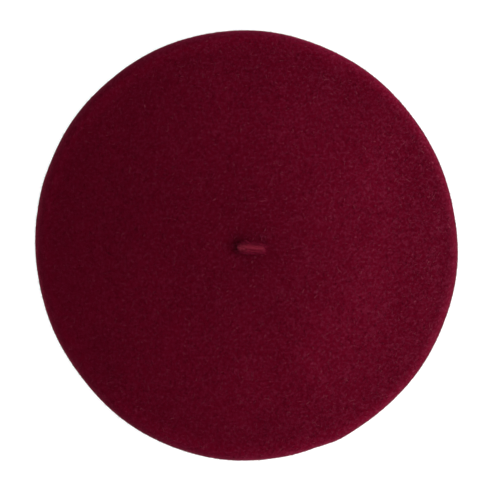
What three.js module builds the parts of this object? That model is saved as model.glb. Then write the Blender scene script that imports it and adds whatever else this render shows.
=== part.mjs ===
// A plain wool-felt beret, lying crown up on a flat surface.
// Millimetres, +Z up. The origin is on that surface, under the middle of the beret.
//
// The cap is one felted wall: a low dome, a rounded rim, and an underside that lies flat around
// a round head opening. A short felt stalk lies on its middle.

import * as THREE from "three";
import { mergeVertices } from "three/addons/utils/BufferGeometryUtils.js";

// ---- the cap before it settles, a body of revolution ----

const WALL = 2.2; // thickness of the felt
const RIM_RADIUS = 141.2; // at the widest line of the rim
const RIM_HEIGHT = 9.5; // of that line above the surface
const RIM_ROUNDING = 9.5; // radius of the bend from the top over the rim
const DOME_EDGE_SLOPE = 9.3; // degrees, where the dome meets that bend
const DOME_ROUND_SHARE = 0.66; // of the dome that is round, before its even slope
const REST_RADIUS = 124; // inside it the underside lies on the surface
const OPENING_RADIUS = 86; // of the head opening

// ---- how the soft cap settles ----

// Waves of the outline: how many go round, how far they push out, and where one crest faces.
const OUTLINE_WAVES = [
  { crests: 2, push: 1.55, facing: 106 },
  { crests: 3, push: 0.32, facing: 1 },
  { crests: 4, push: 0.27, facing: 75 },
];

// Soft swells of the top, and hollows where the height is below zero.
const SWELLS = [
  { x: 100, y: 8, reach: 36, height: -1.1 },
  { x: 130, y: -15, reach: 26, height: 1.8 },
  { x: 92, y: 42, reach: 20, height: -1 },
  { x: 62, y: 18, reach: 22, height: -0.9 },
  { x: 82, y: -62, reach: 28, height: -1 },
  { x: 88, y: 78, reach: 20, height: 0.5 },
  { x: 35, y: -78, reach: 22, height: 1 },
  { x: 30, y: -8, reach: 18, height: 0.8 },
  { x: -5, y: 38, reach: 45, height: 0.5 },
  { x: -60, y: 30, reach: 60, height: 1 },
  { x: -92, y: -30, reach: 22, height: 0.5 },
  { x: -130, y: 50, reach: 44, height: -2.4 },
  { x: -88, y: 95, reach: 40, height: -1.2 },
  { x: -118, y: -75, reach: 34, height: -1.4 },
];

const WAVES_START = 60; // radius from which the outline's waves grow
const SETTLE_FROM = 3; // height above which the wall settles into the swells and hollows
const SETTLE_TO = 14;

// ---- the stalk ----

const STALK_LENGTH = 19;
const STALK_RADIUS = 3.4; // half its width at the root
const STALK_FLATNESS = 0.72; // its height over its width
const STALK_TAPER = 0.2; // share of the radius lost at the free end
const STALK_ROOT = { x: -6.3, y: -1.6 }; // it lies from here towards +X
const STALK_SWING = 1.2; // how far its free end lies to the front of its root
const STALK_BOW = 0.2; // sideways, in the middle of its length
const STALK_BLUNTNESS = { root: 3, free: 6 }; // 2 makes an end round, more makes it square
const DIMPLE = { x: -3.5, y: -2.3, reach: 13, height: -1.6 }; // of the top around the stalk's root
const SEAT_GAP = 0.35; // between the stalk and the cap

// ---- how finely the surfaces are divided ----

const CAP_SEGMENTS = 84;
const OUTER_STEPS = { dome: 12, bend: 5, turn: 5, flat: 2 };
const INNER_STEPS = { dome: 8, bend: 3, turn: 4, flat: 2 };
const DOME_STEP_GROWTH = 1.5; // above 1 the dome's steps are finest in its middle
const EDGE_STEPS = 4;
const STALK_SEGMENTS = 16;
const STALK_STEPS = 14;

const QUARTER_TURN = Math.PI / 2;

function smoothStep(from, to, value) {
  return THREE.MathUtils.smoothstep(value, from, to);
}

function between(from, to, share) {
  return THREE.MathUtils.lerp(from, to, share);
}

// The outer skin of the unsettled cap, as radius and height. The share runs from 0 at the middle
// of the top to 1 where the dome ends, 2 at the widest line, 3 where the underside meets the
// surface and 4 at the head opening. The dome is a parabola that runs on as a cone, the bend over
// the rim a circle and the turn under it a quarter of an ellipse.
function skinPoint(share) {
  const slope = THREE.MathUtils.degToRad(DOME_EDGE_SLOPE);
  if (share <= 1) {
    const domeRadius = RIM_RADIUS - RIM_ROUNDING * (1 - Math.sin(slope));
    const domeFoot = RIM_HEIGHT + RIM_ROUNDING * Math.cos(slope);
    const rounded = 1 - (share * share / DOME_ROUND_SHARE + DOME_ROUND_SHARE) / 2;
    const rise = share < DOME_ROUND_SHARE ? rounded : 1 - share;
    return new THREE.Vector2(share * domeRadius, domeFoot + domeRadius * Math.tan(slope) * rise);
  }
  if (share <= 2) {
    const angle = between(slope, QUARTER_TURN, share - 1);
    const radius = RIM_RADIUS - RIM_ROUNDING * (1 - Math.sin(angle));
    return new THREE.Vector2(radius, RIM_HEIGHT + RIM_ROUNDING * Math.cos(angle));
  }
  if (share <= 3) {
    const angle = (share - 2) * QUARTER_TURN;
    const radius = between(REST_RADIUS, RIM_RADIUS, Math.cos(angle));
    return new THREE.Vector2(radius, RIM_HEIGHT * (1 - Math.sin(angle)));
  }
  return new THREE.Vector2(between(REST_RADIUS, OPENING_RADIUS + WALL / 2, share - 3), 0);
}

// The inner skin lies one wall inside the outer one, square to it.
function innerPoint(share) {
  const reach = 0.01;
  const before = skinPoint(Math.max(share - reach, 0));
  const after = skinPoint(Math.min(share + reach, 4));
  const along = after.sub(before).normalize();
  const inward = share === 0 ? new THREE.Vector2(0, -1) : new THREE.Vector2(along.y, -along.x);
  return skinPoint(share).addScaledVector(inward, WALL);
}

// Shares of one skin from the middle of the top to the head opening.
function skinShares(steps) {
  const shares = [0];
  for (const [stretch, count] of [steps.dome, steps.bend, steps.turn, steps.flat].entries()) {
    const growth = stretch === 0 ? DOME_STEP_GROWTH : 1;
    for (let step = 1; step <= count; step += 1) {
      shares.push(stretch + (step / count) ** growth);
    }
  }
  return shares;
}

// The closed profile: out along the inner skin, round the felt's edge and back along the outer skin.
function capProfile() {
  const inner = skinShares(INNER_STEPS).map(innerPoint);
  const outer = skinShares(OUTER_STEPS).map(skinPoint).reverse();
  const edge = [];
  for (let step = 1; step < EDGE_STEPS; step += 1) {
    const angle = (step / EDGE_STEPS) * Math.PI;
    const radius = OPENING_RADIUS + (WALL / 2) * (1 - Math.sin(angle));
    edge.push(new THREE.Vector2(radius, (WALL / 2) * (1 + Math.cos(angle))));
  }
  return [...inner, ...edge, ...outer];
}

function outlinePush(angle) {
  let push = 0;
  for (const wave of OUTLINE_WAVES) {
    push += wave.push * Math.cos(wave.crests * (angle - THREE.MathUtils.degToRad(wave.facing)));
  }
  return push;
}

function swellHeight(x, y) {
  let height = 0;
  for (const swell of [...SWELLS, DIMPLE]) {
    const distance = Math.hypot(x - swell.x, y - swell.y) / swell.reach;
    height += swell.height * Math.exp(-distance * distance);
  }
  return height;
}

// Moves one point of the unsettled cap to where the soft cap lies. The flat underside stays.
function settle(point) {
  const radius = Math.hypot(point.x, point.y);
  const angle = Math.atan2(point.y, point.x);
  const push = outlinePush(angle) * smoothStep(WAVES_START, RIM_RADIUS, radius);
  const stretch = radius > 0 ? (radius + push) / radius : 1;
  const rise = swellHeight(point.x, point.y) * smoothStep(SETTLE_FROM, SETTLE_TO, point.z);
  point.set(point.x * stretch, point.y * stretch, point.z + rise);
}

// Height of the settled cap's outer skin near its middle, where the outline's waves are still.
function topHeight(x, y) {
  const share = Math.hypot(x, y) / skinPoint(1).x;
  const point = new THREE.Vector3(x, y, skinPoint(share).y);
  settle(point);
  return point.z;
}

// A closed body from a profile that starts and ends on the axis, each vertex moved by a function.
function shapedLathe(profile, segments, move) {
  const lathe = new THREE.LatheGeometry(profile, segments);
  lathe.rotateX(QUARTER_TURN);
  lathe.deleteAttribute("normal");
  lathe.deleteAttribute("uv");
  const geometry = mergeVertices(lathe);
  const positions = geometry.getAttribute("position");
  const point = new THREE.Vector3();
  for (let index = 0; index < positions.count; index += 1) {
    point.fromBufferAttribute(positions, index);
    move(point);
    positions.setXYZ(index, point.x, point.y, point.z);
  }
  geometry.computeVertexNormals();
  return geometry;
}

function capGeometry() {
  return shapedLathe(capProfile(), CAP_SEGMENTS, settle);
}

// Radius of the stalk at a share of its length, from its root to its free end.
function stalkRadius(share) {
  const bluntness = share < 0.5 ? STALK_BLUNTNESS.root : STALK_BLUNTNESS.free;
  const fromMiddle = Math.abs(2 * share - 1) ** bluntness;
  return STALK_RADIUS * (1 - STALK_TAPER * share) * Math.sqrt(Math.max(1 - fromMiddle, 0));
}

// The stalk lies on the cap. Its root end bends down to the cap, and its free end is blunt.
function stalkGeometry() {
  const profile = [];
  for (let step = 0; step <= STALK_STEPS; step += 1) {
    const share = (1 - Math.cos((step / STALK_STEPS) * Math.PI)) / 2;
    profile.push(new THREE.Vector2(stalkRadius(share), share * STALK_LENGTH));
  }
  return shapedLathe(profile, STALK_SEGMENTS, (point) => {
    const share = THREE.MathUtils.clamp(point.z / STALK_LENGTH, 0, 1);
    const x = STALK_ROOT.x + point.z;
    const y = STALK_ROOT.y - STALK_SWING * share + STALK_BOW * Math.sin(Math.PI * share);
    const freedom = smoothStep(0, 0.4, share);
    const lift = between(stalkRadius(share), STALK_RADIUS, freedom);
    const seat = topHeight(x, y) + SEAT_GAP;
    point.set(x, y + point.y, seat + STALK_FLATNESS * (lift - point.x));
  });
}

// ---- the assembly ----

function felt(colour) {
  return new THREE.MeshStandardMaterial({ color: colour, roughness: 0.95, metalness: 0 });
}

const crown = new THREE.Mesh(capGeometry(), felt("#52081b"));
crown.name = "crown";

const stalk = new THREE.Mesh(stalkGeometry(), felt("#6a1a2c"));
stalk.name = "stalk";

const beret = new THREE.Group();
beret.add(crown, stalk);

// The waves of the outline leave its box a little off the axis, so the group moves by that much.
const middle = new THREE.Box3().setFromObject(beret).getCenter(new THREE.Vector3());
beret.position.set(-middle.x, -middle.y, 0);
beret.updateMatrixWorld(true);

export default beret;
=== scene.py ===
"""A plain wool-felt beret lying crown up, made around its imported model.

Metres, +Z up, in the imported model's frame. The felt, the nap and the stalk are surfaces and thin
tubes worked out as whole numpy arrays, and their materials are procedural.
"""

import math

import bpy
import numpy as np
from bpy.props import FloatProperty, FloatVectorProperty, IntProperty, PointerProperty
from bpy.types import Operator, Panel, PropertyGroup
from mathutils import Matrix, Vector


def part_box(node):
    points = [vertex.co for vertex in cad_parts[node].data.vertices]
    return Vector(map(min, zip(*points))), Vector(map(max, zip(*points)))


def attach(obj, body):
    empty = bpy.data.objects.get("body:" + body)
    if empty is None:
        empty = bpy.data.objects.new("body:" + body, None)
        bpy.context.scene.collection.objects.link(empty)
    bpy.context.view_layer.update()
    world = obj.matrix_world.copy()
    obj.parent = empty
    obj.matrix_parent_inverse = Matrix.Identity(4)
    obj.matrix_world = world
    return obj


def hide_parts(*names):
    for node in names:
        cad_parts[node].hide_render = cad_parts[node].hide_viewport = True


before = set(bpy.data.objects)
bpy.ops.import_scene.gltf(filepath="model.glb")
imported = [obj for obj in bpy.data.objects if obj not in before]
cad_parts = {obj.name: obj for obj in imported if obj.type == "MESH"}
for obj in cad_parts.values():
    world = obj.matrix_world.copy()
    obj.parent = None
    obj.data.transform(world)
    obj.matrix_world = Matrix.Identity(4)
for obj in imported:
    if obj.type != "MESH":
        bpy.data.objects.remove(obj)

bl_info = {
    "name": "Felt Beret",
    "version": (1, 0, 0),
    "blender": (4, 5, 0),
    "location": "3D View > Sidebar > Beret",
    "description": "Makes a felt beret with its nap and stalk, and a pale studio to show it in",
    "category": "Object",
}

MM = 0.001
QUARTER_TURN = math.pi / 2
FULL_TURN = 2 * math.pi
ANY_PHASE = 6.28  # a random phase runs from 0 to this

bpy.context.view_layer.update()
CROWN_LOW, CROWN_HIGH = (np.array(corner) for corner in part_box("crown"))
STALK_LOW, STALK_HIGH = (np.array(corner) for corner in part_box("stalk"))
STALK_MIDDLE_Y = (STALK_LOW[1] + STALK_HIGH[1]) / 2

# ---- how the soft cap lies, in millimetres and degrees ----

# Waves of the outline: how many go round, how far they push out and where one crest faces.
OUTLINE_WAVES = (
    {"crests": 2, "push": 1.55, "facing": 106},
    {"crests": 3, "push": 0.32, "facing": 1},
    {"crests": 4, "push": 0.27, "facing": 75},
    {"crests": 7, "push": 0.07, "facing": 43},
    {"crests": 12, "push": 0.14, "facing": 25},
)

# Soft swells of the top, and hollows where the rise is below zero. The last is at the stalk's root.
SWELLS = (
    {"x": 100, "y": 8, "reach": 36, "rise": -1.1},
    {"x": 130, "y": -15, "reach": 26, "rise": 1.8},
    {"x": 92, "y": 42, "reach": 20, "rise": -1},
    {"x": 62, "y": 18, "reach": 22, "rise": -0.9},
    {"x": 82, "y": -62, "reach": 28, "rise": -1},
    {"x": 88, "y": 78, "reach": 20, "rise": 0.5},
    {"x": 35, "y": -78, "reach": 22, "rise": 1},
    {"x": 30, "y": -8, "reach": 18, "rise": 0.8},
    {"x": -5, "y": 38, "reach": 45, "rise": 0.5},
    {"x": -60, "y": 30, "reach": 60, "rise": 1},
    {"x": -92, "y": -30, "reach": 22, "rise": 0.5},
    {"x": -130, "y": 50, "reach": 44, "rise": -2.4},
    {"x": -88, "y": 95, "reach": 40, "rise": -1.2},
    {"x": -118, "y": -75, "reach": 34, "rise": -1.4},
    {"x": -3.5, "y": -2.3, "reach": 13, "rise": -1.6},
)

# Where the outline steps in or out: a bulge at its left, and the small tuck at its front.
RIM_STEPS = (
    {"facing": 163, "width": 5, "push": 0.45},
    {"facing": 288.5, "width": 3.4, "push": -0.5},
    {"facing": 296.5, "width": 3.6, "push": 0.42},
)

# The ridge that the tuck raises, which fades in between two shares of its length.
TUCK_RIDGE = {"start": (8, -130), "end": (46, -135), "reach": 2.4, "rise": 0.5}
RIDGE_FADE = (-0.3, 0.5)

# The stray hairs that lie in one known place: where each starts, which way it sets out and how far
# it turns.
CURLS = (
    {"x": -35, "y": 103, "length": 10, "heading": 28, "bend": -98},
    {"x": -35.5, "y": 108.5, "length": 2.6, "heading": 35, "bend": -25},
    {"x": 47.5, "y": 104, "length": 7, "heading": -85, "bend": -20},
    {"x": 49.5, "y": 97, "length": 7.2, "heading": 8, "bend": -65},
    {"x": -75, "y": 46.5, "length": 8, "heading": 35, "bend": -75},
    {"x": -67.5, "y": 47, "length": 5.5, "heading": 10, "bend": 60},
    {"x": -8, "y": -80.5, "length": 4, "heading": -60, "bend": -25},
    {"x": -5.5, "y": -82, "length": 6, "heading": -80, "bend": 30},
    {"x": -10, "y": 8, "length": 3.4, "heading": -48, "bend": -20},
    {"x": 7.6, "y": 9, "length": 3, "heading": -120, "bend": 20},
    {"x": 10.6, "y": 7.4, "length": 5, "heading": -30, "bend": -290},
    {"x": 12, "y": 4.6, "length": 4, "heading": 100, "bend": 240},
    {"x": 28, "y": 67.5, "length": 1.4, "heading": 5, "bend": 10},
)

# ---- sizes that have no table ----

SETTLE_FROM, SETTLE_TO = 3 * MM, 14 * MM  # heights between which the wall settles into the swells
LUMP_SHORTEST, LUMP_LONGEST, LUMP_WAVES = 14 * MM, 60 * MM, 16

# Divisions of each skin's dome, bend, turn and flat underside, and of the felt's edge.
OUTER_STEPS = (84, 14, 14, 14)
INNER_STEPS = (22, 6, 7, 4)
EDGE_STEPS = 7

END_GAP = 0.4 * MM  # between the stalk's ends and its packed box
ROOT_BEND = 0.4  # share of the stalk's length over which it comes up from the cap
LENGTH_SPREAD = 0.35  # of hairs' lengths round their usual one

# Seeds of the random draws. Each quarter of the nap adds its own number to the nap's.
SEEDS = {"lumps": 11, "nap": 100, "rim_fuzz": 31, "stray_hairs": 7, "ridges": 5, "stalk_fuzz": 23}


# ---- what a user would change ----


def length_setting(name, description, millimetres):
    """A length that a user would change."""
    default = millimetres * MM
    return FloatProperty(name=name, description=description, default=default, unit="LENGTH")


def share_setting(name, description, default):
    """A share that a user would change."""
    return FloatProperty(name=name, description=description, default=default, subtype="FACTOR")


def colour_setting(name, description, *default):
    """A colour that a user would change, as red, green and blue."""
    return FloatVectorProperty(name=name, description=description, default=default, subtype="COLOR")


def number_setting(name, description, default):
    """A plain number that a user would change."""
    return FloatProperty(name=name, description=description, default=default)


class BeretCap(PropertyGroup):
    """Sizes of the felt cap before it settles."""

    wall: length_setting("Wall", "Thickness of the felt", 2.2)
    rim_radius: length_setting("Rim radius", "From the middle to the widest line of the rim", 141.2)
    rim_height: length_setting(
        "Rim height", "Height of the rim's widest line above the surface", 9.5
    )
    rim_rounding: length_setting(
        "Rim rounding", "Radius of the bend from the top over the rim", 9.5
    )
    dome_edge_slope: FloatProperty(
        name="Dome edge slope",
        description="Slope of the dome where it meets the bend",
        default=math.radians(9.3),
        subtype="ANGLE",
    )
    dome_round_share: share_setting(
        "Dome round share", "Share of the dome that is round, before its even slope", 0.66
    )
    rest_radius: length_setting("Rest radius", "Inside it the underside lies on the surface", 124)
    opening_radius: length_setting("Opening radius", "Radius of the head opening", 86)
    waves_start: length_setting("Waves start", "Radius from which the outline's waves grow", 60)
    lump_height: length_setting("Lump height", "Height of the felt's low lumps", 0.1)
    columns: IntProperty(
        name="Columns", description="Divisions round the cap", default=400, min=48, max=480
    )


class BeretStalk(PropertyGroup):
    """Sizes of the stalk on the middle of the cap."""

    radius: length_setting("Radius", "Half the stalk's thickness", 3.4)
    taper: share_setting("Taper", "Share of the radius lost at the free end", 0.2)
    root_bluntness: number_setting(
        "Root bluntness", "2 makes the root's end round, more makes it square", 3
    )
    free_bluntness: number_setting(
        "Free bluntness", "2 makes the free end round, more makes it square", 4
    )
    flatness: share_setting("Flatness", "Its height over its width", 0.72)
    bow: length_setting("Bow", "Sideways, in the middle of its length", 0.2)
    swing: length_setting("Swing", "How far its free end lies to the front of its root", 1.2)
    ridge: length_setting("Ridge", "Height of its lengthwise ridges", 0.06)
    seat_gap: length_setting("Seat gap", "Between the stalk and the cap", 0.1)
    fuzz_count: IntProperty(
        name="Fuzz", description="Fine hairs that stand off the stalk", default=1100
    )
    fuzz_length: length_setting("Fuzz length", "Usual length of such a hair", 2)
    fuzz_thickness: length_setting("Fuzz thickness", "Thickness of such a hair", 0.12)


class BeretFelt(PropertyGroup):
    """Colours and grain of the felt."""

    deep: colour_setting("Deep", "Colour between the fibres", 0.0645, 0.0001, 0.0048)
    pale: colour_setting("Pale", "Colour of the palest flecks", 0.122, 0.0105, 0.0275)
    hair_deep: colour_setting(
        "Hair deep", "Colour of the deepest hairs of the nap", 0.0735, 0.0001, 0.0056
    )
    hair_pale: colour_setting(
        "Hair pale", "Colour of the palest hairs of the nap", 0.235, 0.0445, 0.067
    )
    stalk_deep: colour_setting(
        "Stalk deep", "Colour between the stalk's fibres", 0.098, 0.0015, 0.0095
    )
    stalk_pale: colour_setting("Stalk pale", "Colour of the stalk's fibres", 0.23, 0.018, 0.038)
    fuzz_deep: colour_setting(
        "Fuzz deep", "Colour of the deepest hairs on the stalk", 0.15, 0.005, 0.021
    )
    fuzz_pale: colour_setting(
        "Fuzz pale", "Colour of the palest hairs on the stalk", 0.24, 0.019, 0.044
    )
    stray_deep: colour_setting("Stray deep", "Colour of the deepest stray hairs", 0.17, 0.014, 0.04)
    stray_pale: colour_setting("Stray pale", "Colour of the palest stray hairs", 0.26, 0.035, 0.075)
    fleck_size: length_setting("Fleck size", "Width of the curly flecks", 1.3)
    nap_depth: length_setting("Nap depth", "Depth of the bumps in the nap", 0.25)


class BeretNap(PropertyGroup):
    """The loose hairs that lie on the felt."""

    per_piece: IntProperty(
        name="Hairs in a piece",
        description="Short hairs in each piece of nap",
        default=10500,
        max=11000,
    )
    length: length_setting("Length", "Usual length of a short hair", 2.3)
    thickness: length_setting("Thickness", "Usual thickness of a short hair", 0.17)
    lift: length_setting("Lift", "How far a hair arches off the felt", 0.04)
    rim_count: IntProperty(
        name="Rim hairs", description="Fine hairs that stand off the rim", default=4400
    )
    rim_length: length_setting("Rim length", "Usual length of a hair on the rim", 1.4)
    rim_thickness: length_setting("Rim thickness", "Thickness of a hair on the rim", 0.1)
    stray_count: IntProperty(
        name="Stray hairs", description="Long curly hairs strewn at random", default=55
    )
    stray_length: length_setting("Stray length", "Usual length of a stray hair", 7)
    stray_thickness: length_setting("Stray thickness", "Thickness of a stray hair", 0.1)


class BeretStudio(PropertyGroup):
    """Lights, floor and camera."""

    floor_colour: colour_setting("Floor", "Colour of the floor", 0.2, 0.2, 0.2)
    floor_glow: number_setting("Floor glow", "Light that the floor gives off itself", 0.98)
    key_power: FloatProperty(
        name="Key light", description="Power of the key light", default=70, unit="POWER"
    )
    fill_power: FloatProperty(
        name="Fill light", description="Power of the fill light", default=6, unit="POWER"
    )
    sky: number_setting("Sky", "Strength of the even light from above", 0.0)
    horizon: number_setting("Horizon", "Strength of the light from low down all round", 2.5)
    lens: number_setting("Lens", "Focal length in millimetres", 100)
    share_of_view: share_setting("Share of view", "Beret's width over the view's", 0.844)


# ---- the cap's skin ----


def smooth_step(low, high, value):
    """3t^2 - 2t^3, with t the share of the way from low to high, kept between 0 and 1."""
    share = np.clip((value - low) / (high - low), 0, 1)
    return share * share * (3 - 2 * share)


def skin_profile(cap, shares):
    """Radius and height of the unsettled outer skin.

    The share runs over the dome to 1, the bend over the rim to 2, the turn under it to 3 and the
    flat underside to 4. The dome is a parabola that runs on as a cone to the bend, the bend a
    circle, the turn a quarter of an ellipse and the underside a level line.
    """
    slope = cap.dome_edge_slope
    dome_radius = cap.rim_radius - cap.rim_rounding * (1 - math.sin(slope))
    dome_foot = cap.rim_height + cap.rim_rounding * math.cos(slope)
    dome = np.clip(shares, 0, 1)
    round_share = cap.dome_round_share
    rounded = 1 - (dome * dome / round_share + round_share) / 2
    fall = np.where(dome < round_share, rounded, 1 - dome)
    bend = slope + (QUARTER_TURN - slope) * np.clip(shares - 1, 0, 1)
    turn = QUARTER_TURN * np.clip(shares - 2, 0, 1)
    flat = np.clip(shares - 3, 0, 1)
    edge_radius = cap.opening_radius + cap.wall / 2
    stretches = [shares <= 1, shares <= 2, shares <= 3]
    radii = np.select(
        stretches,
        [
            dome_radius * dome,
            cap.rim_radius - cap.rim_rounding * (1 - np.sin(bend)),
            cap.rest_radius + (cap.rim_radius - cap.rest_radius) * np.cos(turn),
        ],
        cap.rest_radius + (edge_radius - cap.rest_radius) * flat,
    )
    heights = np.select(
        stretches,
        [
            dome_foot + dome_radius * math.tan(slope) * fall,
            cap.rim_height + cap.rim_rounding * np.cos(bend),
            cap.rim_height * (1 - np.sin(turn)),
        ],
        0.0,
    )
    return radii, heights


def inner_profile(cap, shares):
    """The outer skin's profile moved inwards by the wall, square to its run."""
    reach = 0.01
    before = np.array(skin_profile(cap, np.clip(shares - reach, 0, 4)))
    after = np.array(skin_profile(cap, np.clip(shares + reach, 0, 4)))
    along = after - before
    along[1, shares <= 0] = 0
    along = along / np.linalg.norm(along, axis=0)
    radii, heights = skin_profile(cap, shares)
    return radii + cap.wall * along[1], heights - cap.wall * along[0]


def outline_push(turn):
    """Sum of the outline's cosine waves and of the bell-shaped steps of its tuck and bulge."""
    push = np.zeros_like(turn)
    for wave in OUTLINE_WAVES:
        push += wave["push"] * MM * np.cos(wave["crests"] * (turn - math.radians(wave["facing"])))
    for step in RIM_STEPS:
        away = np.angle(np.exp(1j * (turn - math.radians(step["facing"]))))
        push += step["push"] * MM * np.exp(-((away / math.radians(step["width"])) ** 2))
    return push


def swell_height(x, y):
    """Sum of bells, each its rise times e to minus the squared distance over its reach."""
    height = np.zeros_like(x)
    for swell in SWELLS:
        distance = np.hypot(x - swell["x"] * MM, y - swell["y"] * MM) / (swell["reach"] * MM)
        height += swell["rise"] * MM * np.exp(-distance * distance)
    return height


def ridge_height(x, y):
    """A bell of the distance to the tuck's line, which fades in from its start."""
    start, end = MM * np.array([TUCK_RIDGE["start"], TUCK_RIDGE["end"]])
    run = end - start
    share = ((x - start[0]) * run[0] + (y - start[1]) * run[1]) / (run @ run)
    nearest = np.clip(share, 0, 1)
    distance = np.hypot(x - start[0] - nearest * run[0], y - start[1] - nearest * run[1])
    rise = TUCK_RIDGE["rise"] * MM * smooth_step(*RIDGE_FADE, share)
    return rise * np.exp(-((distance / (TUCK_RIDGE["reach"] * MM)) ** 2))


def lumps(x, y, height):
    """Sum of plane waves in random directions, each its height times the sine of its phase.

    A wave's height is its length over the longest one's, to the power of one and a half.
    """
    draw = np.random.default_rng(SEEDS["lumps"])
    total = np.zeros_like(x)
    for length in np.geomspace(LUMP_SHORTEST, LUMP_LONGEST, LUMP_WAVES):
        facing = draw.uniform(0, FULL_TURN)
        phase = draw.uniform(0, FULL_TURN)
        run = x * math.cos(facing) + y * math.sin(facing)
        total += height * (length / LUMP_LONGEST) ** 1.5 * np.sin(FULL_TURN * run / length + phase)
    return total


def settled(cap, points):
    """Moves points of the unsettled cap to where the soft cap lies.

    The outline's push grows from its start to the rim, and the swells, lumps and tuck fade out
    near the surface, so the underside stays flat.
    """
    x, y, z = points[..., 0], points[..., 1], points[..., 2]
    radius = np.maximum(np.hypot(x, y), 1e-9)
    push = outline_push(np.arctan2(y, x)) * smooth_step(cap.waves_start, cap.rim_radius, radius)
    fade = smooth_step(SETTLE_FROM, SETTLE_TO, z)
    rise = lumps(x, y, cap.lump_height) + ridge_height(x, y) + swell_height(x, y)
    stretch = (radius + push) / radius
    return np.stack([x * stretch, y * stretch, z + rise * fade], axis=-1)


def outline_middle(cap):
    """Middle of the box round the settled outline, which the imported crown's box is centred on."""
    stations = 1440
    turn = np.linspace(0, FULL_TURN, stations)
    radius = cap.rim_radius + outline_push(turn)
    x, y = radius * np.cos(turn), radius * np.sin(turn)
    return np.array([x.min() + x.max(), y.min() + y.max(), 0]) / 2


class Skin:
    """The settled outer skin as a map of a flat disc, whose radius is the run along the profile."""

    def __init__(self, cap):
        self.cap = cap
        stations = 1601
        self.radii, self.heights = skin_profile(cap, np.linspace(0, 4, stations))
        steps = np.hypot(np.diff(self.radii), np.diff(self.heights))
        self.runs = np.concatenate([[0], np.cumsum(steps)])
        self.shift = (CROWN_LOW + CROWN_HIGH) / 2 * (1, 1, 0) - outline_middle(cap)

    def points(self, across, up):
        """Turns a place on the disc into a run and an angle, and reads the profile there."""
        run = np.hypot(across, up)
        turn = np.arctan2(up, across)
        radius = np.interp(run, self.runs, self.radii)
        height = np.interp(run, self.runs, self.heights)
        unsettled = np.stack([radius * np.cos(turn), radius * np.sin(turn), height], axis=-1)
        return settled(self.cap, unsettled) + self.shift

    def normals(self, across, up):
        """Cross product of the two central differences, made one long."""
        reach = 0.2 * MM
        along_x = self.points(across + reach, up) - self.points(across - reach, up)
        along_y = self.points(across, up + reach) - self.points(across, up - reach)
        normal = np.cross(along_x, along_y)
        return normal / np.linalg.norm(normal, axis=-1, keepdims=True)


# ---- meshes ----


def mesh_object(name, points, faces, places=None):
    """A smooth piece from arrays of points and triangles, with a map place for each corner."""
    mesh = bpy.data.meshes.new(name)
    mesh.vertices.add(len(points))
    mesh.vertices.foreach_set("co", np.ascontiguousarray(points, dtype=np.float32).ravel())
    mesh.loops.add(faces.size)
    mesh.loops.foreach_set("vertex_index", np.ascontiguousarray(faces, dtype=np.int32).ravel())
    mesh.polygons.add(len(faces))
    mesh.polygons.foreach_set("loop_start", np.arange(0, faces.size, 3, dtype=np.int32))
    mesh.update(calc_edges=True)
    mesh.shade_smooth()
    if places is not None:
        layer = mesh.uv_layers.new(name="OFBake")
        layer.uv.foreach_set("vector", np.ascontiguousarray(places, dtype=np.float32).ravel())
    if mesh.validate():
        raise RuntimeError(f"{name} has faces that Blender had to mend")
    piece = bpy.data.objects.new(name, mesh)
    bpy.context.scene.collection.objects.link(piece)
    return piece


def ring_angles(count):
    """Angles of a ring's points, evenly round a full turn."""
    return FULL_TURN * np.arange(count) / count


def grid_faces(rows, columns):
    """Triangles of rings of vertices, a ring to each row, between a first and a last pole."""
    ring = np.arange(columns)
    after = (ring + 1) % columns
    start = 1 + columns * np.arange(rows - 1)[:, None]
    low, low_next = start + ring, start + after
    high, high_next = low + columns, low_next + columns
    quads = np.stack([low, high, high_next, low, high_next, low_next], axis=-1).reshape(-1, 3)
    first = np.stack([np.zeros_like(ring), 1 + ring, 1 + after], axis=-1)
    last_ring = 1 + columns * (rows - 1)
    pole = np.full_like(ring, last_ring + columns)
    last = np.stack([last_ring + after, last_ring + ring, pole], axis=-1)
    return np.concatenate([first, quads, last])


def tube_faces(count, rings, sides):
    """Triangles of count tubes, each a first point, its rings and a last point."""
    stride = rings * sides + 2
    first = stride * np.arange(count)[:, None, None]
    return (grid_faces(rings, sides)[None] + first).reshape(-1, 3)


def tubes(paths, up, thickness, sides, flatness=1.0):
    """Thin tubes along paths of shape (count, stations, 3): rings round all but the two end points.

    A ring's point is the station plus half the thickness times the cosine of its angle along the
    side and the sine, less than that where the tube is flattened, along the tube's own up.
    """
    along = np.gradient(paths, axis=1)
    along /= np.linalg.norm(along, axis=-1, keepdims=True)
    side = np.cross(along, up)
    side /= np.linalg.norm(side, axis=-1, keepdims=True)
    own_up = np.cross(side, along)
    angle = ring_angles(sides)[None, None, :, None]
    reach = thickness[..., None, None] / 2
    ring = paths[:, :, None] + reach * (
        np.cos(angle) * side[:, :, None] + flatness * np.sin(angle) * own_up[:, :, None]
    )
    count = len(paths)
    rings = ring[:, 1:-1].reshape(count, -1, 3)
    points = np.concatenate([paths[:, :1], rings, paths[:, -1:]], axis=1)
    return points.reshape(-1, 3), tube_faces(count, paths.shape[1] - 2, sides)


# ---- materials ----


def feed(tree, value, socket):
    """Links another socket to a socket, or sets it to a plain value."""
    if isinstance(value, bpy.types.NodeSocket):
        tree.links.new(value, socket)
    else:
        socket.default_value = value


def add_node(tree, kind, **values):
    """A node of that kind, with each value set on the node, or fed to its input of that name."""
    node = tree.nodes.new(kind)
    for name, value in values.items():
        if hasattr(node, name):
            setattr(node, name, value)
        else:
            feed(tree, value, node.inputs[name.replace("_", " ")])
    return node


def math_node(tree, operation, *values, clamp=False):
    """A Math node, whose inputs are sockets or numbers."""
    node = add_node(tree, "ShaderNodeMath", operation=operation, use_clamp=clamp)
    for socket, value in zip(node.inputs, values):
        feed(tree, value, socket)
    return node.outputs[0]


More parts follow.
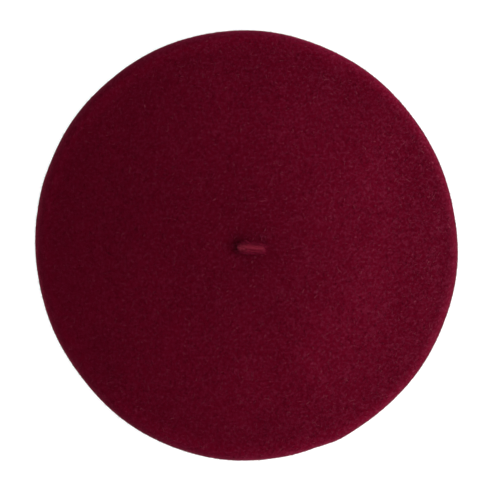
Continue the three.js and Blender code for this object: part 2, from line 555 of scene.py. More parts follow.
def plus(tree, first, second):
    """The sum of two sockets or numbers."""
    return math_node(tree, "ADD", first, second)


def minus(tree, first, second):
    """The first socket or number less the second."""
    return math_node(tree, "SUBTRACT", first, second)


def times(tree, first, second):
    """The product of two sockets or numbers."""
    return math_node(tree, "MULTIPLY", first, second)


def own_place(tree):
    """The place on the piece, in its own coordinates."""
    return tree.nodes.new("ShaderNodeTexCoord").outputs["Object"]


def split(tree, vector):
    """The X, Y and Z of a vector."""
    return add_node(tree, "ShaderNodeSeparateXYZ", Vector=vector).outputs


def drawn_noise(tree, place, scale, detail, distortion):
    """A noise of that scale over a place, between 0 and 1."""
    node = add_node(
        tree,
        "ShaderNodeTexNoise",
        noise_dimensions="3D",
        Vector=place,
        Scale=scale,
        Detail=detail,
        Distortion=distortion,
    )
    return node.outputs["Fac"]


def felt_group():
    """Node group of the felt's grain, from noise on object coordinates.

    Fleck is 1 on thin curly lines where a noise crosses its middle, broken up by a second noise.
    Tone is a slow noise and a fine one, and Height adds the flecks to it. Scales are relative to
    the flecks' own.
    """
    tree = bpy.data.node_groups.new("Felt grain", "ShaderNodeTree")
    face = tree.interface
    face.new_socket("Fleck Scale", in_out="INPUT", socket_type="NodeSocketFloat")
    for name in ("Tone", "Fleck", "Height", "Roughness"):
        face.new_socket(name, in_out="OUTPUT", socket_type="NodeSocketFloat")
    inputs = tree.nodes.new("NodeGroupInput")
    outputs = tree.nodes.new("NodeGroupOutput")
    place = own_place(tree)

    def noise(scale, detail, distortion=0.0):
        own_scale = times(tree, inputs.outputs["Fleck Scale"], scale)
        return drawn_noise(tree, place, own_scale, detail, distortion)

    def curls(scale, sharpness=20.0):
        level = minus(tree, noise(scale, detail=1.5, distortion=1.2), 0.5)
        line = minus(tree, 1.0, times(tree, math_node(tree, "ABSOLUTE", level), sharpness))
        return math_node(tree, "MAXIMUM", line, 0.0)

    def blend(first, share, second):
        return plus(tree, times(tree, first, share), times(tree, second, 1 - share))

    strands = math_node(tree, "MAXIMUM", curls(scale=1.0), times(tree, curls(scale=1.63), 0.8))
    patches, gain, offset = noise(scale=0.7, detail=1.0), 3.2, -1.25
    breaks = math_node(tree, "MULTIPLY_ADD", patches, gain, offset, clamp=True)
    fleck = times(tree, strands, breaks)
    mottle = noise(scale=0.16, detail=3.0, distortion=0.3)
    tone = blend(mottle, 0.55, noise(scale=2.4, detail=2.0))
    height = blend(fleck, 0.45, tone)
    base_rough, fleck_gloss = 0.58, 0.08
    rough = minus(tree, base_rough, times(tree, fleck, fleck_gloss))
    values = {"Tone": tone, "Fleck": fleck, "Height": height, "Roughness": rough}
    for name, socket in values.items():
        tree.links.new(socket, outputs.inputs[name])
    return tree


def felt_grain(tree, scale):
    """The values of the felt's grain at that scale of its flecks."""
    group = bpy.data.node_groups["Felt grain"]
    return add_node(tree, "ShaderNodeGroup", node_tree=group, Fleck_Scale=scale).outputs


def colour_mix(tree, factor, first, second):
    """A Mix node between two colours of three numbers each."""
    node = add_node(tree, "ShaderNodeMix", data_type="RGBA", Factor=factor)
    for name, colour in (("A", first), ("B", second)):
        socket = next(s for s in node.inputs if s.name == name and s.type == "RGBA")
        socket.default_value = (*colour, 1)
    return next(s for s in node.outputs if s.type == "RGBA")


def stretched(tree, socket, low, high, **values):
    """Maps low to 0 and high to 1, or to other values, and keeps the rest between them."""
    values.update(clamp=True, Value=socket, From_Min=low, From_Max=high)
    return add_node(tree, "ShaderNodeMapRange", **values).outputs["Result"]


def felt_shader(name, gloss, sheen):
    """A material and its shader: matt, with a faint gloss and a reddish sheen of fuzz."""
    material = bpy.data.materials.new(name)
    material.use_nodes = True
    shader = material.node_tree.nodes["Principled BSDF"]
    shader.inputs["Specular IOR Level"].default_value = gloss
    shader.inputs["Specular Tint"].default_value = (0.9, 0.4, 1.0, 1)
    shader.inputs["Sheen Weight"].default_value = sheen
    shader.inputs["Sheen Roughness"].default_value = 0.48
    shader.inputs["Sheen Tint"].default_value = (1.0, 0.03, 0.2, 1)
    return material, shader


def add_bumps(tree, shader, height, strength, depth):
    """Leans the shader's normal by a height."""
    bump = add_node(tree, "ShaderNodeBump", Strength=strength, Distance=depth, Height=height)
    tree.links.new(bump.outputs["Normal"], shader.inputs["Normal"])


def bell(tree, away, reach):
    """e to minus the square of a distance over its reach."""
    share = math_node(tree, "DIVIDE", away, reach)
    return math_node(tree, "POWER", math.e, times(tree, times(tree, share, share), -1.0))


def distance_across(tree, x, y):
    """Level distance from a place on the cap, from object coordinates."""
    moved = {"Vector": own_place(tree), "Location": (-x, -y, 0), "Scale": (1, 1, 0)}
    flat = add_node(tree, "ShaderNodeMapping", **moved).outputs["Vector"]
    return add_node(tree, "ShaderNodeVectorMath", operation="LENGTH", Vector=flat).outputs["Value"]


def scaled_colour(tree, colour, gain):
    """A colour times a number that changes over the surface."""
    scaled = add_node(tree, "ShaderNodeVectorMath", operation="SCALE", Vector=colour, Scale=gain)
    return scaled.outputs["Vector"]


def painted_light_and_tone(tree, colour):
    """Changes a colour by its place on the cap, with bells whose sizes are in millimetres.

    It is paler in a broad ring, and paler along the bend of the rim as a painted sheen, which turns
    to painted shade at its right, where the key light falls. It is deeper round the rim's widest
    line, most at its right, as painted shade, and beside the stalk's two ends as its painted
    shadow.
    """

    def ring(radius, reach, rise):
        away = minus(tree, distance_across(tree, 0, 0), radius * MM)
        return times(tree, bell(tree, away, reach * MM), rise)

    def spot(x, y, reach, depth):
        away = distance_across(tree, x * MM, y * MM)
        return times(tree, bell(tree, away, reach * MM), depth)

    # painted sheen along the bend of the rim, turning to painted shade at its right, where the key
    # light falls
    bend_sheen = minus(tree, 0.35, spot(x=138, y=-5, reach=140, depth=0.5))
    # painted shade round the rim's widest line, deepest at the right where the key light falls
    widest_line_shade = minus(tree, -0.26, spot(x=138, y=-5, reach=150, depth=0.28))
    gain = plus(tree, 1.0, ring(radius=88, reach=45, rise=0.16))
    gain = plus(tree, gain, ring(radius=135.5, reach=5.5, rise=bend_sheen))
    gain = plus(tree, gain, ring(radius=142.5, reach=3, rise=widest_line_shade))
    # painted shadow of the stalk on the cap, beside its root and its free end
    gain = minus(tree, gain, spot(x=-5.5, y=3.5, reach=5.5, depth=0.32))
    gain = minus(tree, gain, spot(x=11.5, y=2, reach=3, depth=0.2))
    return scaled_colour(tree, colour, gain)


def lit_side_lean(tree, share):
    """A share that grows evenly from the left rim to the right, a painted sheen where the key light
    falls.
    """
    at_middle, growth = 0.95, 0.36 / (140 * MM)
    lean = times(tree, split(tree, own_place(tree))["X"], growth)
    return times(tree, share, plus(tree, lean, at_middle))


def crown_felt(felt):
    """The cap's felt: mottled between its two colours, with paler curly flecks and a bumpy nap."""
    material, shader = felt_shader("Cap felt", gloss=0.013, sheen=0.26)
    tree = material.node_tree
    grain = felt_grain(tree, 1 / felt.fleck_size)
    mottle_share = 0.06
    mottle = times(tree, stretched(tree, grain["Tone"], low=0.3, high=0.7), mottle_share)
    # more pale flecks towards the right: painted sheen on the side that the key light falls on
    share = plus(tree, mottle, lit_side_lean(tree, grain["Fleck"]))
    colour = colour_mix(tree, share, felt.deep, felt.pale)
    # painted light and shade by place on the cap, over a paler broad ring
    tree.links.new(painted_light_and_tone(tree, colour), shader.inputs["Base Color"])
    tree.links.new(grain["Roughness"], shader.inputs["Roughness"])
    add_bumps(tree, shader, grain["Height"], strength=0.14, depth=felt.nap_depth)
    return material


def hair_felt(name, deep, pale):
    """Hairs' colour: the map's first axis is each hair's own tone, pale for the last few, and its
    second a slight change of strength."""
    material, shader = felt_shader(name, gloss=0.008, sheen=0.12)
    tree = material.node_tree
    place = split(tree, add_node(tree, "ShaderNodeUVMap", uv_map="OFBake").outputs["UV"])
    tone = stretched(tree, place["X"], low=0.85, high=0.97)
    least, growth = 0.7, 0.4
    strength = math_node(tree, "MULTIPLY_ADD", place["Y"], growth, least)
    # paler hairs towards the right: painted sheen on the side that the key light falls on
    share = lit_side_lean(tree, times(tree, tone, strength))
    tree.links.new(colour_mix(tree, share, deep, pale), shader.inputs["Base Color"])
    shader.inputs["Roughness"].default_value = 0.35
    return material


def stalk_felt(felt):
    """The stalk's felt: streaks along its length, strongest near its root, and a painted highlight
    along its lit crest.

    The highlight's line lies further to the back near the root. The whole is deeper at its free
    end, with painted shade at the root's end and painted light just ahead of the root.
    """
    material, shader = felt_shader("Stalk felt", gloss=0.03, sheen=0.12)
    tree = material.node_tree
    place = own_place(tree)
    cells_along, cells_across = 120, 1300  # of the streaks' noise, in a metre
    scale = (cells_along, cells_across, cells_across)
    drawn = add_node(tree, "ShaderNodeMapping", Vector=place, Scale=scale).outputs["Vector"]
    noise = drawn_noise(tree, drawn, scale=1.0, detail=3.0, distortion=0.4)
    streak = stretched(tree, noise, low=0.4, high=0.62)
    x, y, _z = split(tree, place)
    rootward = stretched(tree, x, low=STALK_HIGH[0] - 1 * MM, high=STALK_LOW[0] - 4 * MM)
    # painted highlight along the stalk's lit top, further to the back near the root
    highlight_y, highlight_slant = STALK_MIDDLE_Y + 0.4 * MM, 1.3 * MM
    highlight_reach, highlight_rise = 1.6 * MM, 0.45
    aside = minus(tree, minus(tree, y, highlight_y), times(tree, rootward, highlight_slant))
    painted_highlight = times(tree, bell(tree, aside, highlight_reach), highlight_rise)
    least = 0.2
    streaks = times(tree, streak, plus(tree, rootward, least))
    colour = colour_mix(tree, plus(tree, streaks, painted_highlight), felt.stalk_deep, felt.stalk_pale)

    def near(middle, reach, rise):
        return times(tree, bell(tree, minus(tree, x, middle), reach * MM), rise)

    # deeper at the free end, painted light just ahead of the root, and painted shade at the root's
    # end
    gain = minus(tree, 1.0, near(STALK_HIGH[0], reach=3.5, rise=0.38))
    gain = plus(tree, gain, near(STALK_LOW[0] + 3.8 * MM, reach=3.2, rise=0.34))
    gain = minus(tree, gain, near(STALK_LOW[0], reach=2.2, rise=0.5))
    tree.links.new(scaled_colour(tree, colour, gain), shader.inputs["Base Color"])
    grain = felt_grain(tree, 1.4 / felt.fleck_size)
    tree.links.new(grain["Roughness"], shader.inputs["Roughness"])
    height = plus(tree, streak, grain["Height"])
    add_bumps(tree, shader, height, strength=0.5, depth=felt.nap_depth)
    return material


# ---- the pieces ----


def stage_shares(steps):
    """Shares of the profile: equal steps within each of its four stretches."""
    parts = [np.zeros(1)]
    for stretch, count in enumerate(steps):
        parts.append(stretch + np.arange(1, count + 1) / count)
    return np.concatenate(parts)


class BERET_OT_crown(Operator):
    """Make the felt cap, a closed wall with an outer skin, a rounded edge and an inner skin"""

    bl_idname = "beret.make_crown"
    bl_label = "Crown"

    def execute(self, context):
        cap = context.scene.beret_cap
        columns = cap.columns
        outer = np.array(skin_profile(cap, stage_shares(OUTER_STEPS)))
        inner = np.array(inner_profile(cap, stage_shares(INNER_STEPS)))[:, ::-1]
        angle = np.linspace(0, math.pi, EDGE_STEPS + 1)[1:-1]
        edge_radii = cap.opening_radius + cap.wall / 2 * (1 - np.sin(angle))
        edge_heights = cap.wall / 2 * (1 - np.cos(angle))
        profile = np.concatenate([outer, np.array([edge_radii, edge_heights]), inner], axis=1)
        turn = ring_angles(columns)
        radii, heights = profile[:, 1:-1, None]
        levels = np.broadcast_to(heights, (len(radii), columns))
        rings = np.stack([radii * np.cos(turn), radii * np.sin(turn), levels], axis=-1)
        poles = [[[0, 0, profile[1, end]]] for end in (0, -1)]
        points = np.concatenate([poles[0], rings.reshape(-1, 3), poles[1]])
        points = settled(cap, points) + Skin(cap).shift
        faces = grid_faces(profile.shape[1] - 2, columns)
        outer_rows = outer.shape[1] + EDGE_STEPS // 2
        places = self.places(profile, faces, outer_rows, columns)
        piece = mesh_object("crown_felt", points, faces, places)
        piece.data.materials.append(crown_felt(context.scene.beret_felt))
        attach(piece, "root")
        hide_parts("crown")
        return {"FINISHED"}

    def places(self, profile, faces, outer_rows, columns):
        """Map of two discs, the outer and the inner skin, whose radius is the run along them."""
        outer_middle, outer_radius = 0.4, 0.395
        inner_middle, inner_radius = 0.83, 0.165
        runs = np.concatenate([[0], np.cumsum(np.hypot(*np.diff(profile, axis=1)))])
        last = len(runs) - 1
        row = np.concatenate([[0], np.repeat(np.arange(1, last), columns), [last]])[faces]
        turn = np.concatenate([[0], np.tile(ring_angles(columns), last - 1), [0]])[faces]
        outside = (row.max(axis=1) < outer_rows)[:, None]
        run, outer_run, whole_run = runs[row], runs[outer_rows - 1], runs[-1]
        outer_reach = outer_radius * run / outer_run
        inner_reach = inner_radius * (whole_run - run) / (whole_run - outer_run)
        radius = np.where(outside, outer_reach, inner_reach)
        middle = np.where(outside, outer_middle, inner_middle)
        along = middle + radius * np.cos(turn)
        across = middle + radius * np.sin(turn) * np.where(outside, 1, -1)
        return np.stack([along, across], axis=-1)


def strewn(draw, usual, spread, shape):
    """Sizes strewn round the usual one: it times e to the power of a normal draw."""
    return usual * draw.lognormal(0, spread, shape)


def tapering(draw, usual, count, stations):
    """Thicknesses along hairs, strewn round the usual one, and half as much at the free ends."""
    return strewn(draw, usual, spread=0.25, shape=(count, 1)) * np.linspace(1, 0.5, stations)


def hair_places(draw, count, rings, sides):
    """A small patch of the hair map for each hair, at its own tone."""
    patch_width, patch_height = 0.006, 0.02
    tone = draw.uniform(0.02, 0.97, count)
    along = draw.uniform(0.05, 0.9, count)
    faces = grid_faces(rings, sides)
    station = np.concatenate([[0], np.repeat(np.arange(1, rings + 1), sides), [rings + 1]])
    around = np.concatenate([[0.5], np.tile((np.arange(sides) + 0.5) / sides, rings), [0.5]])
    place_x = tone[:, None, None] + patch_width * around[faces]
    place_y = along[:, None, None] + patch_height * station[faces] / (rings + 1)
    return np.stack([place_x, place_y], axis=-1).reshape(-1, 3, 2)


def hair_object(name, draw, paths, up, thickness, sides=3, flatness=1.0):
    """A piece of hairs along paths, each with its patch of the hair map."""
    points, faces = tubes(paths, up, thickness, sides, flatness)
    count, stations = paths.shape[:2]
    return mesh_object(name, points, faces, hair_places(draw, count, stations - 2, sides))


def lying_hairs(skin, draw, roots, headings, lengths, bends, lifts, sways, stations):
    """Paths of hairs on the skin's disc, lifted off it, and the skin's normals along them.

    Each hair sets out from its root along its heading, which turns evenly by its bend and by its
    sway times a sine. It arches off the skin by its lift times the sine of its share of a half
    turn, on top of a least gap.
    """
    arch_start, arch_run, least_gap = 0.15, 0.75, 0.018 * MM
    share = np.linspace(0, 1, stations)[None]
    phase = draw.uniform(0, ANY_PHASE, (len(roots), 1))
    sway = sways[:, None] * np.sin(FULL_TURN * share + phase)
    heading = headings[:, None] + bends[:, None] * share + sway
    step = lengths[:, None] / (stations - 1)
    across = roots[:, :1] + np.cumsum(step * np.cos(heading), axis=1)
    up = roots[:, 1:] + np.cumsum(step * np.sin(heading), axis=1)
    normals = skin.normals(across, up)
    arch = lifts[:, None] * np.sin(math.pi * (arch_start + arch_run * share)) + least_gap
    return skin.points(across, up) + normals * arch[..., None], normals


def standing_runs(lengths, stations):
    """Each hair's run to its stations, and that run's square over the hair's length."""
    length = lengths[:, None, None]
    run = length * np.linspace(0, 1, stations)[None, :, None]
    return run, run * run / length


class BERET_OT_nap(Operator):
    """Make the nap, short curly hairs strewn over the outer skin in pieces by quarter"""

    bl_idname = "beret.make_nap"
    bl_label = "Nap"

    quarters = ("right_back", "left_back", "left_front", "right_front")
    lowest = 1.5 * MM  # where the skin turns under the rim and the nap ends
    bare_middle = 0.0006  # share of the skin
    flatness = 0.34
    swell = (0, 0.8, 1, 0.7, 0)  # thickness at a hair's stations
    bend_spread, sway_spread, lift_spread, thickness_spread = 1.6, 0.7, 0.6, 0.3

    def execute(self, context):
        nap = context.scene.beret_nap
        felt = context.scene.beret_felt
        skin = Skin(context.scene.beret_cap)
        material = hair_felt("Nap hairs", felt.hair_deep, felt.hair_pale)
        reach = skin.runs[skin.heights > self.lowest][-1] - nap.length
        for number, quarter in enumerate(self.quarters):
            draw = np.random.default_rng(SEEDS["nap"] + number)
            count = nap.per_piece
            run = np.sqrt(draw.uniform(self.bare_middle, 1, count)) * reach
            turn = QUARTER_TURN * (number + draw.uniform(0, 1, count))
            lengths = strewn(draw, nap.length, LENGTH_SPREAD, count)
            paths, normals = lying_hairs(
                skin,
                draw,
                roots=np.stack([run * np.cos(turn), run * np.sin(turn)], axis=1),
                headings=draw.uniform(0, FULL_TURN, count),
                lengths=lengths,
                bends=draw.normal(0, self.bend_spread, count),
                lifts=strewn(draw, nap.lift, self.lift_spread, count),
                sways=draw.normal(0, self.sway_spread, count),
                stations=len(self.swell),
            )
            thickness = strewn(draw, nap.thickness, self.thickness_spread, (count, 1))
            thickness = thickness * np.array(self.swell)
            piece = hair_object(
                f"nap_{quarter}", draw, paths, normals, thickness, flatness=self.flatness
            )
            piece.data.materials.append(material)
            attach(piece, "root")
        return {"FINISHED"}


class BERET_OT_rim_fuzz(Operator):
    """Make the rim's fuzz, fine hairs that stand off the bend and the turn of the rim all round"""

    bl_idname = "beret.make_rim_fuzz"
    bl_label = "Rim fuzz"

    band = 1.8 * MM  # the hairs stand on skin that lies this close to the widest line's radius
    stations = 4

    def execute(self, context):
        nap = context.scene.beret_nap
        felt = context.scene.beret_felt
        cap = context.scene.beret_cap
        skin = Skin(cap)
        draw = np.random.default_rng(SEEDS["rim_fuzz"])
        count = nap.rim_count
        band = skin.runs[skin.radii > cap.rim_radius - self.band]
        run = draw.uniform(band[0], band[-1], count)
        turn = draw.uniform(0, FULL_TURN, count)
        across, up = run * np.cos(turn), run * np.sin(turn)
        roots, normals = skin.points(across, up), skin.normals(across, up)
        paths = self.paths(draw, roots, normals, strewn(draw, nap.rim_length, LENGTH_SPREAD, count))
        thickness = tapering(draw, nap.rim_thickness, count, self.stations)
        piece = hair_object("rim_fuzz", draw, paths, normals[:, None], thickness)
        piece.data.materials.append(hair_felt("Rim hairs", felt.hair_deep, felt.hair_pale))
        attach(piece, "root")
        return {"FINISHED"}

    def paths(self, draw, roots, normals, lengths):
        """Hairs that set out aslant, between the way out and a random way along the skin, and bend
        back to the skin by the square of their run."""
        least_slant, most_slant, fall = 12, 72, 0.4
        count = len(roots)
        level = np.cross(normals, draw.normal(0, 1, (count, 3)))
        level /= np.linalg.norm(level, axis=1, keepdims=True)
        slant = np.radians(draw.uniform(least_slant, most_slant, count))[:, None]
        run, bent = standing_runs(lengths, self.stations)
        away, rise = np.cos(slant) * level, np.sin(slant) * normals
        return roots[:, None] + away[:, None] * run + rise[:, None] * (run - fall * bent)


class BERET_OT_stray_hairs(Operator):
    """Make the stray hairs, long thin curls that lie loose on the felt"""

    bl_idname = "beret.make_stray_hairs"
    bl_label = "Stray hairs"

    reach = 140 * MM  # how far from the middle the random ones start
    bare_middle = 0.004  # share of the skin inside that
    lift = 0.25 * MM
    placed_thickness, random_thickness = 1.5, 0.8  # times the usual one
    bluntness = 0.3  # less makes a hair's ends blunter
    bend_spread, sway_spread, lift_spread, thickness_spread = 2.6, 0.9, 0.3, 0.3
    stations, sides = 14, 5

    def execute(self, context):
        nap = context.scene.beret_nap
        felt = context.scene.beret_felt
        skin = Skin(context.scene.beret_cap)
        draw = np.random.default_rng(SEEDS["stray_hairs"])
        count = nap.stray_count
        run = np.sqrt(draw.uniform(self.bare_middle, 1, count)) * self.reach
        turn = draw.uniform(0, FULL_TURN, count)
        placed = {key: np.array([curl[key] for curl in CURLS]) for key in CURLS[0]}
        none = np.zeros(len(CURLS))
        across = np.concatenate([placed["x"] * MM, run * np.cos(turn)])
        up = np.concatenate([placed["y"] * MM, run * np.sin(turn)])
        lengths = strewn(draw, nap.stray_length, LENGTH_SPREAD, count)
        headings = draw.uniform(0, FULL_TURN, count)
        bends = draw.normal(0, self.bend_spread, count)
        paths, normals = lying_hairs(
            skin,
            draw,
            roots=np.stack([across, up], axis=1),
            headings=np.concatenate([np.radians(placed["heading"]), headings]),
            lengths=np.concatenate([placed["length"] * MM, lengths]),
            bends=np.concatenate([np.radians(placed["bend"]), bends]),
            lifts=strewn(draw, self.lift, self.lift_spread, len(across)),
            sways=np.concatenate([none, draw.normal(0, self.sway_spread, count)]),
            stations=self.stations,
        )
        swell = np.sin(math.pi * np.linspace(0, 1, self.stations)) ** self.bluntness
        random_ones = strewn(draw, self.random_thickness, self.thickness_spread, count)
        relative = np.concatenate([none + self.placed_thickness, random_ones])
        thickness = nap.stray_thickness * relative[:, None] * swell
        piece = hair_object("stray_hairs", draw, paths, normals, thickness, self.sides)
        piece.data.materials.append(hair_felt("Stray hairs", felt.stray_deep, felt.stray_pale))
        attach(piece, "root")
        return {"FINISHED"}


def stalk_radius(stalk, share):
    """The superellipse's half width at that share of the length, less the taper."""
    bluntness = np.where(share < 0.5, stalk.root_bluntness, stalk.free_bluntness)
    from_middle = np.abs(2 * share - 1) ** bluntness
    return stalk.radius * (1 - stalk.taper * share) * np.sqrt(np.clip(1 - from_middle, 0, 1))


def stalk_flatness(stalk, share):
    """Its height over its width, which grows from the root, where the stalk leaves the cap."""
    at_root = 0.45  # of its flatness elsewhere
    return stalk.flatness * (at_root + (1 - at_root) * smooth_step(0, ROOT_BEND, share))


def stalk_axis(stalk, skin, share):
    """Points of the stalk's axis, which swings and bows sideways and lies on the cap.

    Its height is the cap's, the seat gap and the stalk's half height, which shrinks to nothing at
    the root's tip, so the root bends down to the cap.
    """
    x = STALK_LOW[0] + END_GAP + (STALK_HIGH[0] - STALK_LOW[0] - 2 * END_GAP) * share
    y = STALK_MIDDLE_Y + stalk.swing * (0.5 - share) + stalk.bow * (np.sin(math.pi * share) - 0.5)
    bed = skin.points(x - skin.shift[0], y - skin.shift[1])[..., 2]
    freedom = smooth_step(0, ROOT_BEND, share)
    lift = stalk_radius(stalk, share) * (1 - freedom) + stalk.radius * freedom
    return np.stack([x, y, bed + stalk.seat_gap + lift * stalk_flatness(stalk, share)], axis=-1)


class BERET_OT_stalk(Operator):
    """Make the stalk, a blunt felted bean with lengthwise ridges"""

    bl_idname = "beret.make_stalk"
    bl_label = "Stalk"

    rows, columns = 90, 64

    def execute(self, context):
        stalk = context.scene.beret_stalk
        skin = Skin(context.scene.beret_cap)
        share = (1 - np.cos(np.linspace(0, math.pi, self.rows + 2))) / 2
        turn = ring_angles(self.columns)
        axis = stalk_axis(stalk, skin, share)
        inner = share[1:-1, None]
        rise = stalk.ridge * self.ridges(turn, inner) * np.sin(math.pi * inner)
        radius = stalk_radius(stalk, inner) + rise
        upright = stalk_flatness(stalk, inner) * radius * np.sin(turn)
        ring = np.stack([np.zeros_like(radius), radius * np.cos(turn), upright], axis=-1)
        rings = (axis[1:-1, None] + ring).reshape(-1, 3)
        points = np.concatenate([axis[:1], rings, axis[-1:]])
        piece = mesh_object("stalk_felt", points, grid_faces(self.rows, self.columns))
        piece.data.materials.append(stalk_felt(context.scene.beret_felt))
        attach(piece, "root")
        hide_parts("stalk")
        return {"FINISHED"}

    def ridges(self, turn, share):
        """Sum of sines round the stalk, each less high by the root of its number of crests, and
        twisted a little along the length."""
        fewest, most, twist = 3, 19, 0.5
        draw = np.random.default_rng(SEEDS["ridges"])
        total = np.zeros((self.rows, self.columns))
        for crests in range(fewest, most + 1):
            lean = draw.uniform(-twist, twist) * crests * share
            phase = draw.uniform(0, FULL_TURN)
            total += np.sin(crests * turn[None] + lean + phase) / math.sqrt(crests)
        return total


class BERET_OT_stalk_fuzz(Operator):
    """Make the stalk's fuzz, fine hairs that stand off it and are drawn out along it"""

    bl_idname = "beret.make_stalk_fuzz"
    bl_label = "Stalk fuzz"

    nearest, farthest = 0.03, 0.985  # shares of the stalk's length that the hairs stand on
    back_share = 0.6  # of the hairs stand on its back side, the rest on its front side
    spread_round = 0.55  # of the angle that they stand at, round those sides
    sway = 0.12 * MM
    stations = 6

    def execute(self, context):
        stalk = context.scene.beret_stalk
        felt = context.scene.beret_felt
        skin = Skin(context.scene.beret_cap)
        draw = np.random.default_rng(SEEDS["stalk_fuzz"])
        count = stalk.fuzz_count
        share = draw.uniform(self.nearest, self.farthest, count)
        side = np.where(draw.uniform(0, 1, count) < self.back_share, 0, math.pi)
        turn = side + draw.normal(0, self.spread_round, count)
        out = np.stack([np.zeros(count), np.cos(turn), np.sin(turn)], axis=1)
        section = stalk_radius(stalk, share)[:, None] * out
        section[:, 2] *= stalk_flatness(stalk, share)
        roots = stalk_axis(stalk, skin, share) + section
        lengths = strewn(draw, stalk.fuzz_length, LENGTH_SPREAD, count)
        paths = self.paths(draw, share, roots, out, lengths)
        thickness = tapering(draw, stalk.fuzz_thickness, count, self.stations)
        piece = hair_object("stalk_fuzz", draw, paths, out[:, None], thickness)
        piece.data.materials.append(hair_felt("Stalk hairs", felt.fuzz_deep, felt.fuzz_pale))
        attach(piece, "root")
        return {"FINISHED"}

    def paths(self, draw, share, roots, out, lengths):
        """Hairs that set out aslant and bend back by the square of their run.

        The slant is the sine and cosine of an angle between the way out and the way along the
        stalk, which is forwards near the free end and either way elsewhere. A sine sways them.
        """
        least_slant, most_slant, fall = 8, 62, 0.55
        least_forwards, grows_from, grows_to, drift_spread = 0.4, 0.2, 0.95, 0.35
        count = len(roots)
        growth = smooth_step(grows_from, grows_to, share)
        forwards = growth * (1 - least_forwards) + least_forwards
        ahead = np.where(draw.uniform(0, 1, count) < forwards, 1, -1)
        slant = np.radians(draw.uniform(least_slant, most_slant, count))
        side = np.cross(out, (1, 0, 0))
        drift = draw.normal(0, drift_spread, count)
        run, bent = standing_runs(lengths, self.stations)
        lengthwise = ahead[:, None] * np.cos(slant)[:, None] * np.array([[1.0, 0, 0]])
        heading = lengthwise + drift[:, None] * side
        phase = draw.uniform(0, ANY_PHASE, (count, 1, 1))
        sway = self.sway * np.sin(FULL_TURN * bent / lengths[:, None, None] + phase)
        rise = np.sin(slant)[:, None] * out
        straight = roots[:, None] + heading[:, None] * run
        return straight + rise[:, None] * (run - fall * bent) + side[:, None] * sway


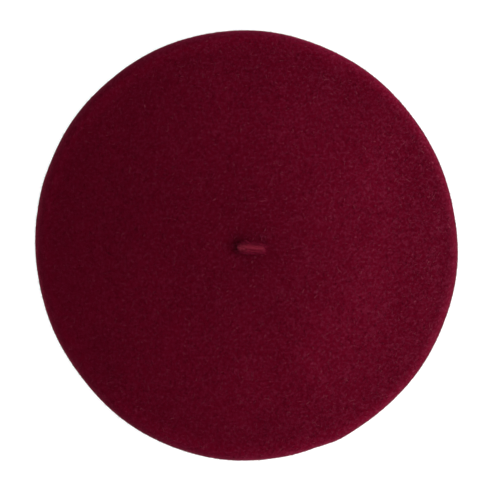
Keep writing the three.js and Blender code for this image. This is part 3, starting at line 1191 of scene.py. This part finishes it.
class BERET_OT_studio(Operator):
    """Make the pale floor, the soft lights and the camera straight above"""

    bl_idname = "beret.make_studio"
    bl_label = "Studio"

    camera_aside = (0.0073, -0.0091)  # of the view's width, from above the beret's middle
    key_place = {"elevation": 29, "azimuth": -5, "distance": 1.9}
    fill_place = {"elevation": 14, "azimuth": 170, "distance": 1.7}
    floor_half = 6.0
    floor_gap = 0.05 * MM  # keeps the floor apart from the flat underside
    horizon_fade = (0.08, 0.4)  # sines of the elevations between which the low light fades

    def execute(self, context):
        studio = context.scene.beret_studio
        self.camera(context, studio)
        self.floor(studio)
        self.light("key_light", studio.key_power, self.key_place, size=1.5)
        self.light("fill_light", studio.fill_power, self.fill_place, size=1.2)
        self.sky(context, studio)
        context.scene.view_settings.view_transform = "Standard"
        return {"FINISHED"}

    def sky(self, context, studio):
        """Even light whose strength falls smoothly from the horizon upwards."""
        world = bpy.data.worlds.new("Studio")
        world.use_nodes = True
        tree = world.node_tree
        sky = tree.nodes["Background"]
        sky.inputs["Color"].default_value = (1, 1, 1, 1)
        way = split(tree, tree.nodes.new("ShaderNodeTexCoord").outputs["Generated"])
        ends = {"To_Min": studio.horizon, "To_Max": studio.sky, "interpolation_type": "SMOOTHSTEP"}
        strength = stretched(tree, way["Z"], *self.horizon_fade, **ends)
        tree.links.new(strength, sky.inputs["Strength"])
        context.scene.world = world

    def camera(self, context, studio):
        """Straight above, so far off that the beret's width takes its share of the view."""
        data = bpy.data.cameras.new("camera")
        data.lens = studio.lens
        view_width = (CROWN_HIGH[0] - CROWN_LOW[0]) / studio.share_of_view
        distance = view_width * data.lens / data.sensor_width
        camera = bpy.data.objects.new("camera", data)
        aside_x, aside_y = (share * view_width for share in self.camera_aside)
        camera.location = (aside_x, aside_y, context.scene.beret_cap.rim_height + distance)
        data.clip_start = distance / 100
        data.clip_end = distance * 100
        context.scene.collection.objects.link(camera)
        context.scene.camera = camera

    def floor(self, studio):
        """A wide square a hair's breadth under the beret."""
        half, low = self.floor_half, -self.floor_gap
        corners = [(-half, -half, low), (half, -half, low), (half, half, low), (-half, half, low)]
        mesh = bpy.data.meshes.new("floor")
        mesh.from_pydata(corners, [], [(0, 1, 2, 3)])
        floor = bpy.data.objects.new("floor", mesh)
        bpy.context.scene.collection.objects.link(floor)
        material = bpy.data.materials.new("Pale floor")
        material.use_nodes = True
        shader = material.node_tree.nodes["Principled BSDF"]
        shader.inputs["Base Color"].default_value = (*studio.floor_colour, 1)
        shader.inputs["Roughness"].default_value = 0.9
        shader.inputs["Specular IOR Level"].default_value = 0.1
        shader.inputs["Emission Color"].default_value = (1, 1, 1, 1)
        shader.inputs["Emission Strength"].default_value = studio.floor_glow
        mesh.materials.append(material)

    def light(self, name, power, place, size):
        """A round soft light that looks at the beret's middle."""
        data = bpy.data.lights.new(name, "AREA")
        data.shape = "DISK"
        data.size = size
        data.energy = power
        rise, way = math.radians(place["elevation"]), math.radians(place["azimuth"])
        level = math.cos(rise)
        out = Vector((level * math.cos(way), level * math.sin(way), math.sin(rise)))
        lamp = bpy.data.objects.new(name, data)
        lamp.location = out * place["distance"]
        lamp.rotation_euler = out.to_track_quat("Z", "Y").to_euler()
        bpy.context.scene.collection.objects.link(lamp)


class BERET_PT_panel(Panel):
    """The beret's pieces, in the order in which they are made"""

    bl_idname = "BERET_PT_panel"
    bl_label = "Felt Beret"
    bl_space_type = "VIEW_3D"
    bl_region_type = "UI"
    bl_category = "Beret"

    def draw(self, context):
        for maker in MAKERS:
            self.layout.operator(maker.bl_idname)
        for name, _group in SETTINGS:
            box = self.layout.box()
            settings = getattr(context.scene, name)
            for key in settings.__annotations__:
                box.prop(settings, key)


SETTINGS = (
    ("beret_cap", BeretCap),
    ("beret_stalk", BeretStalk),
    ("beret_felt", BeretFelt),
    ("beret_nap", BeretNap),
    ("beret_studio", BeretStudio),
)
MAKERS = (
    BERET_OT_studio,
    BERET_OT_crown,
    BERET_OT_nap,
    BERET_OT_rim_fuzz,
    BERET_OT_stray_hairs,
    BERET_OT_stalk,
    BERET_OT_stalk_fuzz,
)


def register():
    """Registers the settings, the makers and the panel."""
    for name, group in SETTINGS:
        bpy.utils.register_class(group)
        setattr(bpy.types.Scene, name, PointerProperty(type=group))
    for maker in (*MAKERS, BERET_PT_panel):
        bpy.utils.register_class(maker)


def unregister():
    """Takes away what register added."""
    for maker in (*MAKERS, BERET_PT_panel):
        bpy.utils.unregister_class(maker)
    for name, group in SETTINGS:
        delattr(bpy.types.Scene, name)
        bpy.utils.unregister_class(group)


def main():
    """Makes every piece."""
    register()
    felt_group()
    bpy.ops.beret.make_studio()
    bpy.ops.beret.make_crown()
    bpy.ops.beret.make_nap()
    bpy.ops.beret.make_rim_fuzz()
    bpy.ops.beret.make_stray_hairs()
    bpy.ops.beret.make_stalk()
    bpy.ops.beret.make_stalk_fuzz()


if __name__ == "__main__":
    main()
